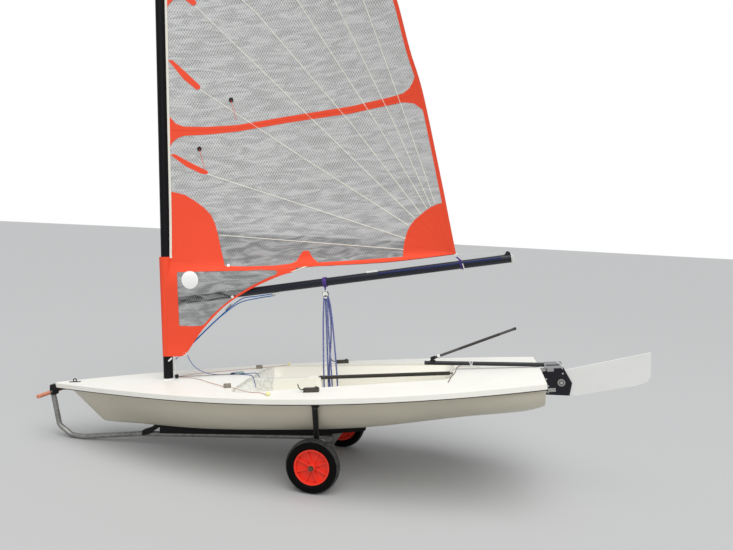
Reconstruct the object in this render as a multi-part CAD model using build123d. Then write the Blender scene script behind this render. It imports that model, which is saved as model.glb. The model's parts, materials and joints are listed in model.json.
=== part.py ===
from build123d import *
import math
import os

# Single-handed sailing dinghy, rigged, parked on its launching trolley. Millimetres.
# Boat pieces are drawn level, x aft from the bow, z up from the gunwale at mid-length,
# and are then trimmed bow down on the trolley. Trolley pieces are drawn from the floor.

# hull
length = 3650
trim = -7.05
gunwale_height = 617
half_beam = 650
beam_x = 2396
side_arc = 4343
bow_arc_end = beam_x - 1296
nose_half = 21
nose_radius = 26
crest_bow = 29
crest_fall = 0.0024
crown_radius = 7300
lip_height = 32
hull_overlap = 26
transom_step = 8
cockpit_front = 1600
cockpit_aft = 3070
cockpit_front_half = half_beam - 175
cockpit_aft_half = half_beam - 368
cockpit_slope_depth = 65
cockpit_slope_run = 52
cockpit_depth = 190
cockpit_draft = 10.9
cockpit_corner = 90
liner_wall = 8

# daggerboard trunk
trunk_length = 530
trunk_width = 84
trunk_top = 4
slot_start = 1700
slot_length = 330
slot_width = 30

# mast and its step
mast_x = 938
mast_deck_z = 30
mast_rake = 3.6
mast_radius = 35
mast_joint = 2960
mast_top = 4720
mast_tip_radius = 16
step_depth = 300
step_clearance = 0.05
collar_radius = 48
collar_height = 5

# boom
boom_z = 609
boom_start = 1052
boom_end = 3511
boom_end_z = 772
boom_radius = 29
boom_wall = 4

# sail
sail_thickness = 3
sail_gap = 0.3
sleeve_low = 203
sleeve_high = 945
sleeve_wall = 2.5
sleeve_slack = 6

# rudder
rudder_axis_x = length + 42
stock_front = rudder_axis_x - 24
stock_back = rudder_axis_x + 165
stock_top = 12
stock_bottom = -178
cheek = 8
blade_thickness = 20
blade_gap = 1
blade_pivot = (rudder_axis_x + 95, -88)
blade_root = 80
pin_radius = 6
pin_clearance = 0.05
pintle_radius = 5
gudgeon_thick = 8
tiller_radius = 14
socket_length = 114
tiller_front = (rudder_axis_x - 820, 78)
tiller_back = (rudder_axis_x + 98, 29)
extension_joint = (tiller_front[0] + 56, 106)
extension_tip = (extension_joint[0] + 583, 292)
extension_radius = 9

# fittings on the foredeck and the free blue ropes
bow_eye_x = 160
bow_eye_rise = 13
rope_radius = 2.5

# trolley, seen from the floor
axle_x = 2201
wheel_radius = 178
tyre_width = 90
rim_radius = 118
half_track = 475
hub_radius = 26
stub_radius = 10
stub_clearance = 0.05
tube_radius = 19
beam_half = 418
post_radius = 18
post_y = 404
post_knee = 340
post_top_y = half_beam - 10
post_top_z = 612
handle_x = -12
handle_z = 352
handle_half = 175
grip_radius = 15
grip_length = 120

# centre and radius of the bow arc, tangent to the side arc and ending at the nose's half-breadth
side_y = half_beam - side_arc
join_y = side_y + math.sqrt(side_arc**2 - (beam_x - bow_arc_end) ** 2)
inward = ((beam_x - bow_arc_end) / side_arc, (side_y - join_y) / side_arc)
bow_reach = inward[0] * bow_arc_end + inward[1] * (join_y - nose_half)
bow_arc = -(bow_arc_end**2 + (join_y - nose_half) ** 2) / (2 * bow_reach)
bow_x = bow_arc_end + inward[0] * bow_arc
bow_y = join_y + inward[1] * bow_arc


def at_boat(shape):
    """Trim a level boat piece and stand it at its height on the trolley."""
    middle = length / 2
    turn = Location((middle, 0, gunwale_height)) * Rotation(0, trim, 0)
    return (turn * Location((-middle, 0, 0))) * shape


def rod(start, end, radius, end_radius=None):
    """Round bar or cone from one point to another."""
    path = Vector(*end) - Vector(*start)
    plane = Plane(origin=start, z_dir=path.normalized())
    if end_radius is None or end_radius == radius:
        return plane * Cylinder(radius, path.length, align=(Align.CENTER, Align.CENTER, Align.MIN))
    return plane * Cone(radius, end_radius, path.length, align=(Align.CENTER, Align.CENTER, Align.MIN))


def pipe(start, end, radius, wall):
    return rod(start, end, radius) - rod(start, end, radius - wall)


def block(x0, x1, y0, y1, z0, z1):
    return Pos((x0 + x1) / 2, (y0 + y1) / 2, (z0 + z1) / 2) * Box(x1 - x0, y1 - y0, z1 - z0)


def plate_xz(points, y0, y1):
    """Plate with an outline in x and z, from y0 to y1."""
    outline = make_face(Polyline(*[(x, 0, z) for x, z in points], close=True))
    return Pos(0, y0, 0) * extrude(outline, amount=y1 - y0, dir=(0, 1, 0))


def plan_half(x):
    """Half-breadth over the lip: a long arc for the bow, tangent to the arc of the sides."""
    if x >= bow_arc_end:
        return side_y + math.sqrt(side_arc**2 - (x - beam_x) ** 2)
    return bow_y + math.sqrt(bow_arc**2 - (x - bow_x) ** 2)


def crest(x):
    """Height of the deck's crown on the middle line."""
    return crest_bow - crest_fall * x


def sheer(x):
    """Height of the deck's edge."""
    return crest(x) - plan_half(x) ** 2 / (2 * crown_radius)


def deck_plan():
    """Outline of the deck seen from above."""
    sides = []
    for sign in (-1, 1):
        marks = [(x, sign * plan_half(x), 0) for x in (0, bow_arc_end / 2, bow_arc_end, beam_x, length)]
        sides.append([ThreePointArc(*marks[0:3]), ThreePointArc(*marks[2:5])])
    port, starboard = sides
    transom = Line(port[1] @ 1, starboard[1] @ 1)
    nose = Line(port[0] @ 0, starboard[0] @ 0)
    plan = make_face(Wire([*port, transom, *starboard, nose]))
    return fillet(plan.vertices().group_by(Axis.X)[0], nose_radius)


def crown_slab(low, high):
    """Everything between two heights over the crown's curve, along the whole boat."""
    y = half_beam + 150

    def arc(z):
        drop = y * y / (2 * crown_radius)
        return ThreePointArc((0, -y, z - drop), (0, 0, z), (0, y, z - drop))

    under = arc(crest_bow + low)
    over = arc(crest_bow + high)
    section = make_face(Wire([under, Line(under @ 1, over @ 1), over, Line(over @ 0, under @ 0)]))
    slab = Pos(-400, 0, 0) * extrude(section, amount=length + 800, dir=(1, 0, 0))
    return Rotation(0, math.degrees(math.atan(crest_fall)), 0) * slab


# hull sections: x at gunwale, x at keel, half-breadth as a share of the lip's, keel z,
# half-chord of the bottom arc as a share of that half-breadth, rise of the bottom arc
hull_sections = [
    (92, 385, 0.217, -272, 0.86, 12),
    (220, 455, 0.80, -284, 0.33, 24),
    (500, 640, 0.88, -300, 0.26, 28),
    (1000, 1060, 0.935, -330, 0.43, 50),
    (1500, 1500, 0.952, -341, 0.57, 72),
    (2200, 2200, 0.951, -341, 0.59, 73),
    (2700, 2700, 0.959, -315, 0.59, 70),
    (3200, 3200, 0.958, -268, 0.62, 60),
    (length - transom_step, length - transom_step, 0.954, -220, 0.67, 50),
]


def hull_section(x_top, x_keel, side_share, keel_z, chord_share, rise):
    """Round bottom and one tangent arc up to the gunwale, in a plane that leans with the stem."""
    side = side_share * plan_half(x_top)
    half_chord = chord_share * side
    top = sheer(x_top) - lip_height + hull_overlap
    depth = math.hypot(x_keel - x_top, top - keel_z)
    along = ((x_keel - x_top) / depth, (keel_z - top) / depth)

    def point(y, down):
        return (x_top + along[0] * down, y, top + along[1] * down)

    start = 2 * math.atan2(rise, half_chord)
    chord = math.hypot(side - half_chord, depth - rise)
    chord_angle = math.atan2(depth - rise, side - half_chord)
    swell = chord / 2 * math.tan((chord_angle - start) / 2)
    middle_y = (side + half_chord) / 2 + swell * math.sin(chord_angle)
    middle_down = (depth - rise) / 2 + swell * math.cos(chord_angle)
    return make_face(Wire([
        Line(point(-side, 0), point(side, 0)),
        ThreePointArc(point(side, 0), point(middle_y, middle_down), point(half_chord, depth - rise)),
        ThreePointArc(point(half_chord, depth - rise), point(0, depth), point(-half_chord, depth - rise)),
        ThreePointArc(point(-half_chord, depth - rise), point(-middle_y, middle_down), point(-side, 0)),
    ]))


def well_shape(grow):
    """Cockpit hollow: sloping upper sides, then steep walls. Grown by the wall for the outside."""
    x0, x1 = cockpit_front - grow, cockpit_aft + grow
    y0, y1 = cockpit_front_half + grow, cockpit_aft_half + grow
    plan = make_face(Polyline((x0, -y0), (x1, -y1), (x1, y1), (x0, y0), close=True))
    plan = fillet(plan.vertices(), cockpit_corner + grow)
    slope = math.degrees(math.atan(cockpit_slope_run / cockpit_slope_depth))
    upper = extrude(plan, amount=-cockpit_slope_depth, taper=slope)
    ledge = upper.faces().sort_by(Axis.Z)[0]
    wall_depth = cockpit_depth - cockpit_slope_depth + grow
    lower = extrude(ledge, amount=wall_depth, taper=cockpit_draft)
    return extrude(plan, amount=80) + upper + lower


def mast_point(z, aft=0):
    """Point on the mast's axis at a height over the gunwale line, moved aft if asked."""
    return (mast_x + (z - mast_deck_z) * math.tan(math.radians(mast_rake)) + aft, 0, z)


deck_solid = extrude(Pos(0, 0, -200) * deck_plan(), amount=400) & crown_slab(-lip_height, 0)
hull_solid = loft([hull_section(*row) for row in hull_sections]) & crown_slab(-900, -lip_height)
mast_heel = mast_deck_z - step_depth
mast_bore = rod(mast_point(mast_heel), mast_point(mast_deck_z + 60), mast_radius + step_clearance)
slot_cut = block(slot_start, slot_start + slot_length, -slot_width / 2, slot_width / 2, -450, 60)
well_outer = well_shape(liner_wall)
well_inner = well_shape(0)

parts = {}


def both(shape):
    """A piece and its mirror image across the middle of the boat."""
    return Compound([*shape.solids(), *mirror(shape, about=Plane.XZ).solids()])


def deck_z(x, y):
    return crest(x) - y * y / (2 * crown_radius)


# hull, deck and cockpit
parts["hull"] = at_boat(hull_solid - well_outer - mast_bore - slot_cut)
parts["deck"] = at_boat(deck_solid - well_outer - mast_bore)
liner = (hull_solid & well_outer) + (deck_solid & well_outer) - well_inner - slot_cut
parts["cockpit_liner"] = at_boat(liner)

trunk_back = cockpit_front + trunk_length
trunk = block(cockpit_front, trunk_back, -trunk_width / 2, trunk_width / 2, -cockpit_depth, trunk_top)
trunk = fillet(trunk.edges().filter_by(Axis.Z).group_by(Axis.X)[-1], trunk_width / 2 - 1)
parts["daggerboard_trunk"] = at_boat((trunk & well_inner) - slot_cut)

collar = rod(mast_point(mast_deck_z - 22), mast_point(mast_deck_z + collar_height), collar_radius)
parts["mast_collar"] = at_boat(collar - mast_bore - deck_solid)

# rig
mast_low = rod(mast_point(mast_heel + 1), mast_point(mast_joint), mast_radius)
mast_high = rod(mast_point(mast_joint), mast_point(mast_top), mast_radius - 3, mast_tip_radius)
parts["mast_lower"] = at_boat(mast_low)
parts["mast_upper"] = at_boat(mast_high)
parts["mast_cap"] = at_boat(rod(mast_point(mast_top), mast_point(mast_top + 24), mast_tip_radius + 2))

boom_slope = (boom_end_z - boom_z) / (boom_end - boom_start)


def boom_point(x, up=0, y=0):
    return (x, y, boom_z + (x - boom_start) * boom_slope + up)


parts["boom"] = at_boat(pipe(boom_point(boom_start + 12), boom_point(boom_end - 14), boom_radius, boom_wall))
parts["boom_end_cap"] = at_boat(
    rod(boom_point(boom_end - 60), boom_point(boom_end - 14), boom_radius - boom_wall)
    + rod(boom_point(boom_end - 14), boom_point(boom_end), boom_radius)
)
gooseneck = rod(boom_point(mast_point(boom_z)[0] + mast_radius - 6), boom_point(boom_start + 12), 11)
gooseneck += rod(boom_point(boom_start + 12), boom_point(boom_start + 60), boom_radius - boom_wall)
parts["gooseneck"] = at_boat(gooseneck - mast_low)

# sail sections: luff z, luff's angle round the mast, leech x, leech y, leech z, curve to starboard
sail_sections = [
    (203, -69, 1068, -35, 199, 0.5),
    (222, -69, 1100, -35, 209, -0.5),
    (262, -69, 1130, -35, 237, -1),
    (315, -69, 1178, -35, 296, -2),
    (405, -69, 1262, -36, 395, -4),
    (545, -69, 1443, -38, 554, -6),
    (655, -69, 1650, -40, 667, -8),
    (735, -66, 1862, -40, 746, -8),
    (778, -55, 1980, -36, 774, -2),
    (805, -44, 2081, -32, 803, 6),
    (850, -30, 2650, 10, 799, 58),
    (900, -15, 3137, 0, 825, 100),
    (1090, -6, 3103, 0, 1080, 128),
    (1330, 0, 3070, 0, 1330, 150),
    (1850, 0, 2981, 0, 1942, 160),
    (2160, 0, 2911, 0, 2243, 158),
    (2510, 0, 2844, 0, 2590, 150),
    (2850, 0, 2762, 0, 2900, 140),
    (3290, 0, 2600, 0, 3350, 125),
    (3680, 0, 2400, 0, 3760, 108),
    (4010, 0, 2190, 0, 4100, 88),
    (4250, 0, 1980, 0, 4370, 68),
    (4430, 0, 1770, 0, 4560, 42),
    (4560, 0, 1640, 0, 4640, 25),
]


def mast_radius_at(z):
    """Radius that the sail's luff lies on: sleeve, lower mast, then the tapering upper mast."""
    if z <= sleeve_high:
        return mast_radius + sleeve_wall
    if z <= mast_joint:
        return mast_radius
    share = (z - mast_joint) / (mast_top - mast_joint)
    return mast_radius - 3 - share * (mast_radius - 3 - mast_tip_radius)


def sail_section(luff_z, luff_angle, leech_x, leech_y, leech_z, depth):
    reach = mast_radius_at(luff_z) + sail_gap
    luff_y = math.sin(math.radians(luff_angle)) * (reach + sail_thickness / 2)
    x = mast_point(luff_z)[0] + math.cos(math.radians(luff_angle)) * reach

    def arc(side):
        return ThreePointArc(
            (x, luff_y + side, luff_z),
            ((x + leech_x) / 2, (luff_y + leech_y) / 2 + depth + side, (luff_z + leech_z) / 2),
            (leech_x, leech_y + side, leech_z),
        )

    near = arc(-sail_thickness / 2)
    far = arc(sail_thickness / 2)
    return make_face(Wire([near, Line(near @ 1, far @ 1), far, Line(far @ 0, near @ 0)]))


sail = loft([sail_section(*row) for row in sail_sections], ruled=True)
sleeve_radius = mast_radius + sleeve_wall


def sleeve_shape(grow):
    """Sleeve's outside: snug at its foot, slack and a little forward of the mast at its top."""
    top = mast_point(sleeve_high + grow, 1 - sleeve_slack)
    return rod(mast_point(sleeve_low - grow), top, sleeve_radius + grow, sleeve_radius + sleeve_slack + grow)


sail -= rod(mast_point(sleeve_low - 40), mast_point(sleeve_high + 2), sleeve_radius + sail_gap / 2)
sail -= sleeve_shape(sail_gap / 2)
sail -= rod(mast_point(sleeve_high), mast_point(mast_joint + 1), mast_radius + sail_gap / 2)
parts["sail"] = at_boat(sail)

sleeve = sleeve_shape(0) - rod(mast_point(sleeve_low - 20), mast_point(sleeve_high + 20), mast_radius)
sleeve -= block(mast_x, mast_x + 300, -20, 60, boom_z - 45, boom_z + 45)
parts["sail_sleeve"] = at_boat(sleeve)

# blocks of the mainsheet
sheet_x = 2196
parts["boom_block"] = at_boat(
    Pos(sheet_x, 0, 600) * Rotation(90, 0, 0) * Cylinder(22, 14)
    + rod((sheet_x, 0, 612), boom_point(sheet_x), 5)
    - rod(boom_point(boom_start), boom_point(boom_end), boom_radius)
)
floor_block_x = trunk_back + 50
parts["sheet_block"] = at_boat(
    Pos(floor_block_x, 0, 38 - cockpit_depth) * Rotation(90, 0, 0) * Cylinder(24, 18)
    + rod((floor_block_x, 0, -cockpit_depth), (floor_block_x, 0, 18 - cockpit_depth), 7)
)

# padded toe strap down the middle of the cockpit, from the trunk's round end to the aft wall
strap = block(trunk_back - 25, cockpit_aft - 26, -24, 24, trunk_top - 14, trunk_top + 3)
strap += block(cockpit_aft - 27, cockpit_aft + 10, -8, 8, trunk_top - 9, trunk_top - 3)
parts["toe_strap"] = at_boat((strap & well_inner) - trunk)

# rudder, tiller and extension
cheek_in = blade_thickness / 2 + blade_gap
cheek_out = cheek_in + cheek
slot_x = rudder_axis_x + 6
stock = plate_xz([
    (stock_front, stock_top), (stock_back - 50, stock_top), (stock_back, stock_bottom + 84),
    (stock_back - 22, stock_bottom), (stock_front + 4, stock_bottom + 12),
], -cheek_out, cheek_out)
stock -= block(slot_x, stock_back + 20, -cheek_in, cheek_in, stock_bottom - 20, stock_top - 14)
pivot_x, pivot_z = blade_pivot
stock += rod((pivot_x, -cheek_out - 4, pivot_z), (pivot_x, cheek_out + 4, pivot_z), pin_radius)
notch = rudder_axis_x + 12
stock -= block(stock_front - 10, notch, -40, 40, -12, 20)
stock -= block(stock_front - 10, notch, -40, 40, -164, -132)
stock += rod((rudder_axis_x, 0, -14), (rudder_axis_x, 0, stock_top - 1), pintle_radius)
stock += rod((rudder_axis_x, 0, -130), (rudder_axis_x, 0, -163), pintle_radius)
parts["rudder_stock"] = at_boat(stock)

# gudgeons: name, height of the bracket's lower face, x of the face that it is bolted to
for name, z, seat_x in (("gudgeon_upper", -4, length), ("gudgeon_lower", -152, length - transom_step)):
    ring_top = z + gudgeon_thick
    bracket = block(seat_x, rudder_axis_x, -11, 11, z, ring_top)
    bracket += block(seat_x, length + 4, -26, 26, z - 7, ring_top + 7)
    bracket += rod((rudder_axis_x, 0, z), (rudder_axis_x, 0, ring_top), 11)
    pin_bore = pintle_radius + pin_clearance
    bracket -= rod((rudder_axis_x, 0, z - 1), (rudder_axis_x, 0, ring_top + 1), pin_bore)
    parts[name] = at_boat(bracket)

# the lifted blade's outline, from its pivot
blade_outline = [(5, 78), (583, 179), (574, 22), (548, -17), (473, -38), (102, -92), (13, -79)]
blade_side = blade_thickness / 2
blade = plate_xz([(pivot_x + along, pivot_z + up) for along, up in blade_outline], -blade_side, blade_side)
blade += rod((pivot_x, -blade_side, pivot_z), (pivot_x, blade_side, pivot_z), blade_root)
blade -= rod((pivot_x, -40, pivot_z), (pivot_x, 40, pivot_z), pin_radius + pin_clearance)
parts["rudder_blade"] = at_boat(blade)

tiller = rod((tiller_front[0], 0, tiller_front[1]), (tiller_back[0], 0, tiller_back[1]), tiller_radius)
parts["tiller"] = at_boat(tiller)
socket = block(rudder_axis_x - 10, rudder_axis_x - 10 + socket_length, -20, 20, stock_top, 50)
parts["tiller_socket"] = at_boat(socket - tiller)
joint_x, joint_z = extension_joint
parts["extension_base"] = at_boat(rod((joint_x, 0, joint_z - 26), (joint_x, 0, joint_z - 8), 9) - tiller)
extension = rod((joint_x, 0, joint_z), (extension_tip[0], 0, extension_tip[1]), extension_radius)
extension += Pos(joint_x, 0, joint_z) * Sphere(11)
extension -= block(joint_x - 30, joint_x + 30, -30, 30, joint_z - 30, joint_z - 7.8)
parts["tiller_extension"] = at_boat(extension)

# deck fittings: name, x, y, length, width, height
deck_fittings = [
    ("cam_cleats", 2175, 488, 100, 32, 22),
    ("side_blocks", 1540, 330, 46, 20, 24),
]
for name, x, y, size_x, size_y, size_z in deck_fittings:
    base = deck_z(x, y)
    piece = Pos(x, y, base + size_z / 2) * Box(size_x, size_y, size_z + 8)
    parts[name] = at_boat(both(piece - deck_solid))

# eye on a long base plate on the foredeck
base_z = deck_z(bow_eye_x, 0)
eye = Pos(bow_eye_x, 0, base_z + bow_eye_rise) * Rotation(90, 0, 0) * (Cylinder(15, 6) - Cylinder(9, 6))
eye += block(bow_eye_x - 45, bow_eye_x + 45, -11, 11, base_z - 3, base_z + bow_eye_rise - 9.5)
parts["bow_eye"] = at_boat(eye - deck_solid)


def rope_path(points):
    """Route of a free rope: straight runs joined by tangent arcs as wide as the runs allow."""
    radii = []
    for before, at, after in zip(points, points[1:], points[2:]):
        incoming = Vector(*at) - Vector(*before)
        outgoing = Vector(*after) - Vector(*at)
        half_turn = math.radians(incoming.get_angle(outgoing)) / 2
        radii.append(0.45 * min(incoming.length, outgoing.length) / math.tan(half_turn))
    print("rope bend radii", [round(radius) for radius in radii])
    return FilletPolyline(*points, radius=radii)


def rope(points):
    path = rope_path(points)
    return sweep(Plane(origin=path @ 0, z_dir=path % 0) * Circle(rope_radius), path=path)


# free blue ropes: one from under the sail's tack over the deck into the cockpit, and its short tail
parts["control_line"] = at_boat(rope([
    (1122, -35, 205), (1134, -31, 166), (1156, -16, 120), (1178, 22, 80), (1216, 66, 46), (1272, 90, 28.3),
    (1334, 88, 28.1), (1398, 97, 27.9), (1462, 88, 27.8), (1520, 98, 27.6), (1568, 106, 28.2),
    (1612, 88, 30.6), (1632, 66, -4), (1640, 54, -36),
]))
parts["control_tail"] = at_boat(rope([
    (1474, 74, 27.9), (1522, 58, 28), (1570, 32, 28.6), (1604, -6, 30.6), (1626, -40, 12), (1642, -66, -18),
    (1656, -90, -42),
]))

# trolley frame
spine_path = FilletPolyline(
    (handle_x - 6, 0, handle_z), (46, 0, 92), (150, 0, 24), (250, 0, tube_radius), (740, 0, 95),
    (axle_x + 24, 0, 227),
    radius=[60, 60, 120, 400],
)
spine = sweep(Plane(origin=spine_path @ 0, z_dir=spine_path % 0) * Circle(tube_radius), path=spine_path)
spine = Pos(0, 0, -spine.bounding_box().min.Z) * spine
parts["trolley_spine"] = spine

beam = rod((axle_x, -beam_half, wheel_radius), (axle_x, beam_half, wheel_radius), tube_radius)
stub_end = half_track + tyre_width / 2 + 22
beam += rod((axle_x, -stub_end, wheel_radius), (axle_x, stub_end, wheel_radius), stub_radius)
parts["axle_beam"] = beam - spine

bar = rod((handle_x, -handle_half, handle_z), (handle_x, handle_half, handle_z), 11)
parts["handle_bar"] = bar - spine
grip_start = handle_half - grip_length
grip = rod((handle_x, grip_start, handle_z), (handle_x, handle_half + 5, handle_z), grip_radius)
parts["handle_grips"] = both(grip - bar)

boat_solids = [at_boat(hull_solid), at_boat(deck_solid)]


def under_boat(shape, others):
    """What is left of a support below the boat: the piece that carries it."""
    for tool in boat_solids + others:
        shape = shape - tool
    return Part(max(shape.solids(), key=lambda piece: piece.volume).wrapped)


# supports under the bow and keel: name, half-width, x and z of the outline
supports = [
    ("bow_chock", 28, [(-27, 330), (12, 330), (12, 370), (115, 382), (115, 415), (-27, 405)]),
    ("keel_bunk", 25, [(896, 120), (2130, 234), (2317, 274), (2462, 302), (2462, 420), (896, 300)]),
    ("keel_chock", 30, [
        (756, 90), (800, 100), (832, 122), (872, 150), (950, 222), (915, 232), (828, 158), (788, 139),
        (756, 128),
    ]),
    ("axle_clamp", 26, [(axle_x - 30, 160), (axle_x + 30, 160), (axle_x + 30, 232), (axle_x - 30, 232)]),
    ("bunk_brace", 12, [(axle_x - 11, 160), (axle_x + 36, 171), (axle_x + 99, 270), (axle_x + 39, 262)]),
]
standing = [spine, beam, bar]
for name, half, outline in supports:
    parts[name] = under_boat(plate_xz(outline, -half, half), standing)
    standing.append(parts[name])

post_path = FilletPolyline(
    (axle_x, post_y, wheel_radius), (axle_x, post_y, post_knee), (axle_x + 34, post_top_y, post_top_z),
    radius=50,
)
post = sweep(Plane(origin=post_path @ 0, z_dir=post_path % 0) * Circle(post_radius), path=post_path)
parts["posts"] = both(post - beam)
pad = block(axle_x + 12, axle_x + 56, post_top_y - 30, post_top_y + 3, post_top_z, post_top_z + 60)
parts["post_pads"] = both(under_boat(pad, [post]))

# wheels: half of the tyre's section as radius and height
tyre_section = [
    (rim_radius, 34), (rim_radius + 14, tyre_width / 2), (wheel_radius - 20, tyre_width / 2 - 4),
    (wheel_radius - 10, 30), (wheel_radius, 14),
]
outline = tyre_section + [(radius, -height) for radius, height in reversed(tyre_section)]
tyre = revolve(Plane.XZ * make_face(Polyline(*outline, close=True)), axis=Axis.Z)
rim = Cylinder(rim_radius, 68)
for side in (-22, 22):
    rim -= Pos(0, 0, side) * Cylinder(rim_radius - 12, 40)
rim += Cylinder(rim_radius - 2, 8) + Cylinder(hub_radius, tyre_width)
for angle in (22.5, 67.5, 112.5, 157.5):
    rim += Rotation(0, 0, angle) * Box(2 * rim_radius - 16, 9, 44)
rim -= Cylinder(stub_radius + stub_clearance, 200)
for side, sign in (("port", -1), ("starboard", 1)):
    turn = Pos(axle_x, sign * half_track, wheel_radius) * Rotation(90, 0, 0)
    parts["tyre_" + side] = turn * tyre
    parts["wheel_rim_" + side] = turn * rim
cap_y = half_track + tyre_width / 2 + 1
washer = rod((axle_x, cap_y, wheel_radius), (axle_x, cap_y + 4, wheel_radius), 16)
parts["axle_washers"] = both(washer - beam)

# the origin is on the floor, midway between the ends
boxes = [shape.bounding_box() for shape in parts.values()]
home_x = -(min(box.min.X for box in boxes) + max(box.max.X for box in boxes)) / 2
home = Location((home_x, 0, 0))
os.makedirs("parts", exist_ok=True)
for name, shape in parts.items():
    export_step(home * shape, f"parts/{name}.step")
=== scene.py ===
import json
import math

import bmesh
import bpy
from mathutils import Matrix, Vector
from mathutils.bvhtree import BVHTree
from mathutils.geometry import delaunay_2d_cdt


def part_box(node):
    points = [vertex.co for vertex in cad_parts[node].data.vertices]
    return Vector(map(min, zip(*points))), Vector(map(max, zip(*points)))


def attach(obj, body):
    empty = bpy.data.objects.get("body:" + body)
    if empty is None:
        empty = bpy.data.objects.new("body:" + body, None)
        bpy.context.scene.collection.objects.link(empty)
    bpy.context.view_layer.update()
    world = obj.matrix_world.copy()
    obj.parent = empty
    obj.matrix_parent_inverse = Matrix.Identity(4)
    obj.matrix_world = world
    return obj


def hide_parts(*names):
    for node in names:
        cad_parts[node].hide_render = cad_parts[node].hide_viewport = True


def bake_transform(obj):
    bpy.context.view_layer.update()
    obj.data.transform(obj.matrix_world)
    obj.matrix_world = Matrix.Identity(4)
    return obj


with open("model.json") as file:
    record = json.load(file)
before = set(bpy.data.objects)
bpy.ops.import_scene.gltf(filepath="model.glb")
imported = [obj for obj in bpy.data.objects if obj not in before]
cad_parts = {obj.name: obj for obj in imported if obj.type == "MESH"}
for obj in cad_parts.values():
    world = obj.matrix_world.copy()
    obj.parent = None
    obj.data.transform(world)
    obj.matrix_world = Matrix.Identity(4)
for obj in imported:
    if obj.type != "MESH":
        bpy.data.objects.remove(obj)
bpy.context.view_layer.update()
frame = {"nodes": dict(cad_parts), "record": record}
nodes = frame["nodes"]

# The trolley's frame, in metres: x aft from the level boat's bow, y to starboard, z up from the floor.
AXLE_X = 2.201
AXLE_Z = 0.178
WHEEL_Y = 0.475
axle_low, axle_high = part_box("axle_beam")
HOME = (axle_low.x + axle_high.x) / 2 - AXLE_X
ROW = Matrix.Translation((HOME, 0, 0))

# The boat's own frame, in metres: x aft from the bow, y to starboard, z up from the gunwale.
MIDDLE = 1.825
GUNWALE_HEIGHT = 0.617
TRIM = math.radians(-7.05)
BOAT = Matrix.Translation((MIDDLE + HOME, 0, GUNWALE_HEIGHT)) @ Matrix.Rotation(TRIM, 4, "Y")
BOAT = BOAT @ Matrix.Translation((-MIDDLE, 0, 0))

# The camera, solved from the photograph: pixels, radians, and metres in the trolley's frame.
PHOTO_WIDTH = 733
PHOTO_LENS = 629.82
CAMERA_ANGLES = (-0.1643, 0.0608, 0.0534)
CAMERA_PLACE = (3.1366, -4.3868, 1.6832)
SENSOR_WIDTH = 36
FAR_AWAY = 500

scene = bpy.context.scene


# shader nodes
def feed(tree, node, inputs):
    """Link each input of a node to a socket, or set it to a value."""
    for name, value in inputs.items():
        if isinstance(value, bpy.types.NodeSocket):
            tree.links.new(value, node.inputs[name])
        else:
            node.inputs[name].default_value = value
    return node


def add_node(tree, kind, inputs):
    return feed(tree, tree.nodes.new("ShaderNode" + kind), inputs)


def add_maths(tree, kind, first, second):
    """A maths node fed by sockets or numbers."""
    step = add_node(tree, "Math", {0: first, 1: second})
    step.operation = kind
    return step.outputs[0]


def add_noise(tree, place, scale, detail, distortion=0.0):
    inputs = {"Vector": place, "Scale": scale, "Detail": detail, "Distortion": distortion}
    return add_node(tree, "TexNoise", inputs).outputs["Fac"]


def add_ramp(tree, source, *ends):
    """A ramp from one (position, colour) to another."""
    ramp = add_node(tree, "ValToRGB", {0: source})
    for element, (position, color) in zip(ramp.color_ramp.elements, ends):
        element.position = position
        element.color = (*color, 1)
    return ramp.outputs[0]


def add_tint(tree, share, first, second):
    """A mix of two colours."""
    tint = tree.nodes.new("ShaderNodeMix")
    tint.data_type = "RGBA"
    return feed(tree, tint, {"Factor": share, "A": first, "B": second}).outputs["Result"]


def add_bump(tree, height, strength, distance):
    """Bump on the material's own shader."""
    bump = add_node(tree, "Bump", {"Height": height, "Strength": strength, "Distance": distance})
    feed(tree, tree.nodes["Principled BSDF"], {"Normal": bump.outputs[0]})


# camera and light
def make_camera():
    yaw, pitch, roll = CAMERA_ANGLES
    ahead = Vector((math.sin(yaw) * math.cos(pitch), math.cos(yaw) * math.cos(pitch), -math.sin(pitch)))
    level = Vector((math.cos(yaw), -math.sin(yaw), 0))
    plumb = level.cross(ahead)
    right = level * math.cos(roll) + plumb * math.sin(roll)
    up = plumb * math.cos(roll) - level * math.sin(roll)
    data = bpy.data.cameras.new("camera")
    data.sensor_width = SENSOR_WIDTH
    data.lens = PHOTO_LENS / PHOTO_WIDTH * SENSOR_WIDTH
    data.clip_end = FAR_AWAY
    camera = bpy.data.objects.new("camera", data)
    turn = Matrix((right, up, -ahead)).transposed().to_4x4()
    x, y, z = CAMERA_PLACE
    camera.matrix_world = Matrix.Translation((x + HOME, y, z)) @ turn
    scene.collection.objects.link(camera)
    scene.camera = camera
    return camera


def place_light(data, place, turn):
    light = bpy.data.objects.new(data.name, data)
    light.location = place
    light.rotation_mode = "QUATERNION"
    light.rotation_quaternion = turn
    scene.collection.objects.link(light)


def area_light(name, place, target, size, power):
    data = bpy.data.lights.new(name, "AREA")
    data.shape = "DISK"
    data.size = size
    data.energy = power
    place_light(data, place, (Vector(target) - Vector(place)).to_track_quat("-Z", "Y"))


def soft_sun(toward, power, spread):
    data = bpy.data.lights.new("soft_sun", "SUN")
    data.energy = power
    data.angle = spread
    place_light(data, (0, 0, 0), Vector(toward).to_track_quat("Z", "Y"))


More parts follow.
